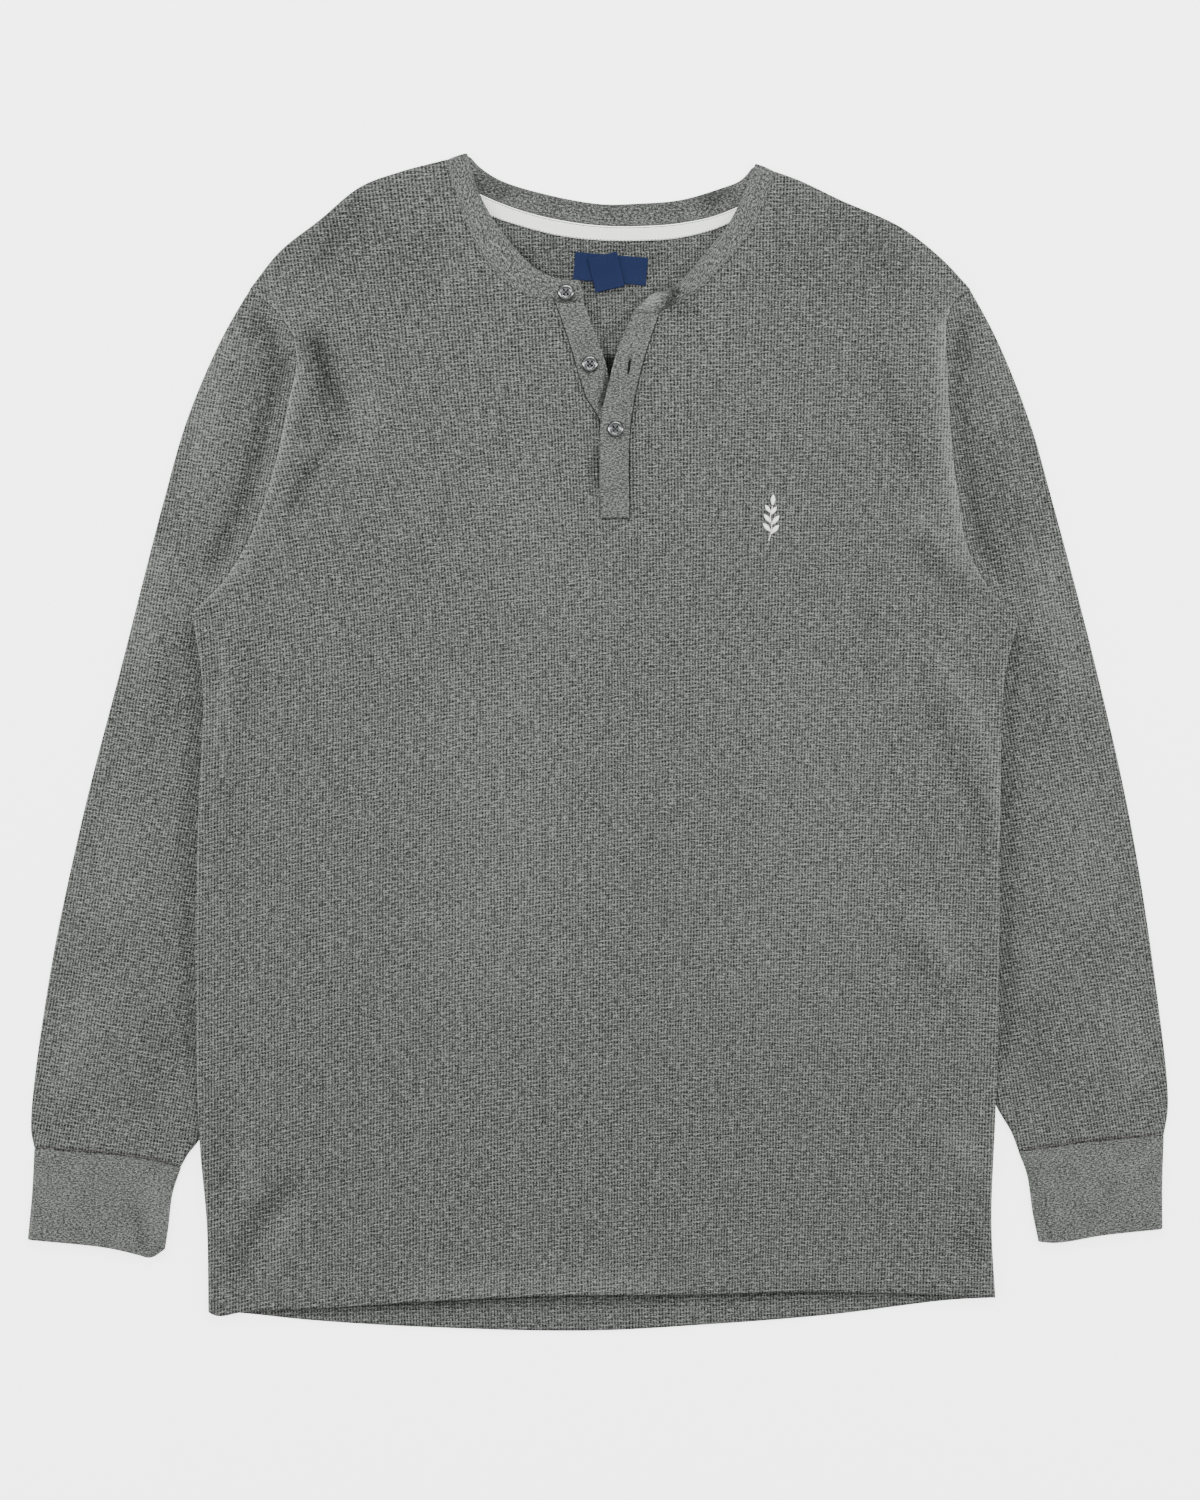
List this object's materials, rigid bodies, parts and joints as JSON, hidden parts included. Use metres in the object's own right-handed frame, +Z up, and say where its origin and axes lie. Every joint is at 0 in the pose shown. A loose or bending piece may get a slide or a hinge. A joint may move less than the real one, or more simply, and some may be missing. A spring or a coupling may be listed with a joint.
{
  "type": "long-sleeved waffle-knit henley thermal top",
  "caption": "Long-sleeved waffle-knit thermal top with a buttoned henley neck, jersey neckband and cuffs, lying flat on its back.",
  "frame": {"origin": "under the middle of the top, on the surface that it lies on", "axes": "+X to the right as one looks down on the front, +Y from the hem towards the neck, +Z up from the surface"},
  "size_m": [0.7976, 0.8246, 0.0116],
  "materials": {
    "waffle": "grey marl cotton waffle knit",
    "trim": "grey marl cotton interlock, plain",
    "tape": "white twill tape and white thread",
    "label": "navy woven satin tape, blank",
    "button": "smoke-grey polished resin"
  },
  "bodies": {
    "root": {"back_panel": "waffle", "front_panel": "waffle", "sleeve_left": "waffle", "sleeve_right": "waffle", "cuff_left": "trim", "cuff_right": "trim", "neckband": "trim", "placket_under": "trim", "placket_over": "trim", "neck_tape": "tape", "main_label": "label", "size_tab": "label", "button_1": "button", "button_2": "button", "button_3": "button"}
  },
  "joints": []
}
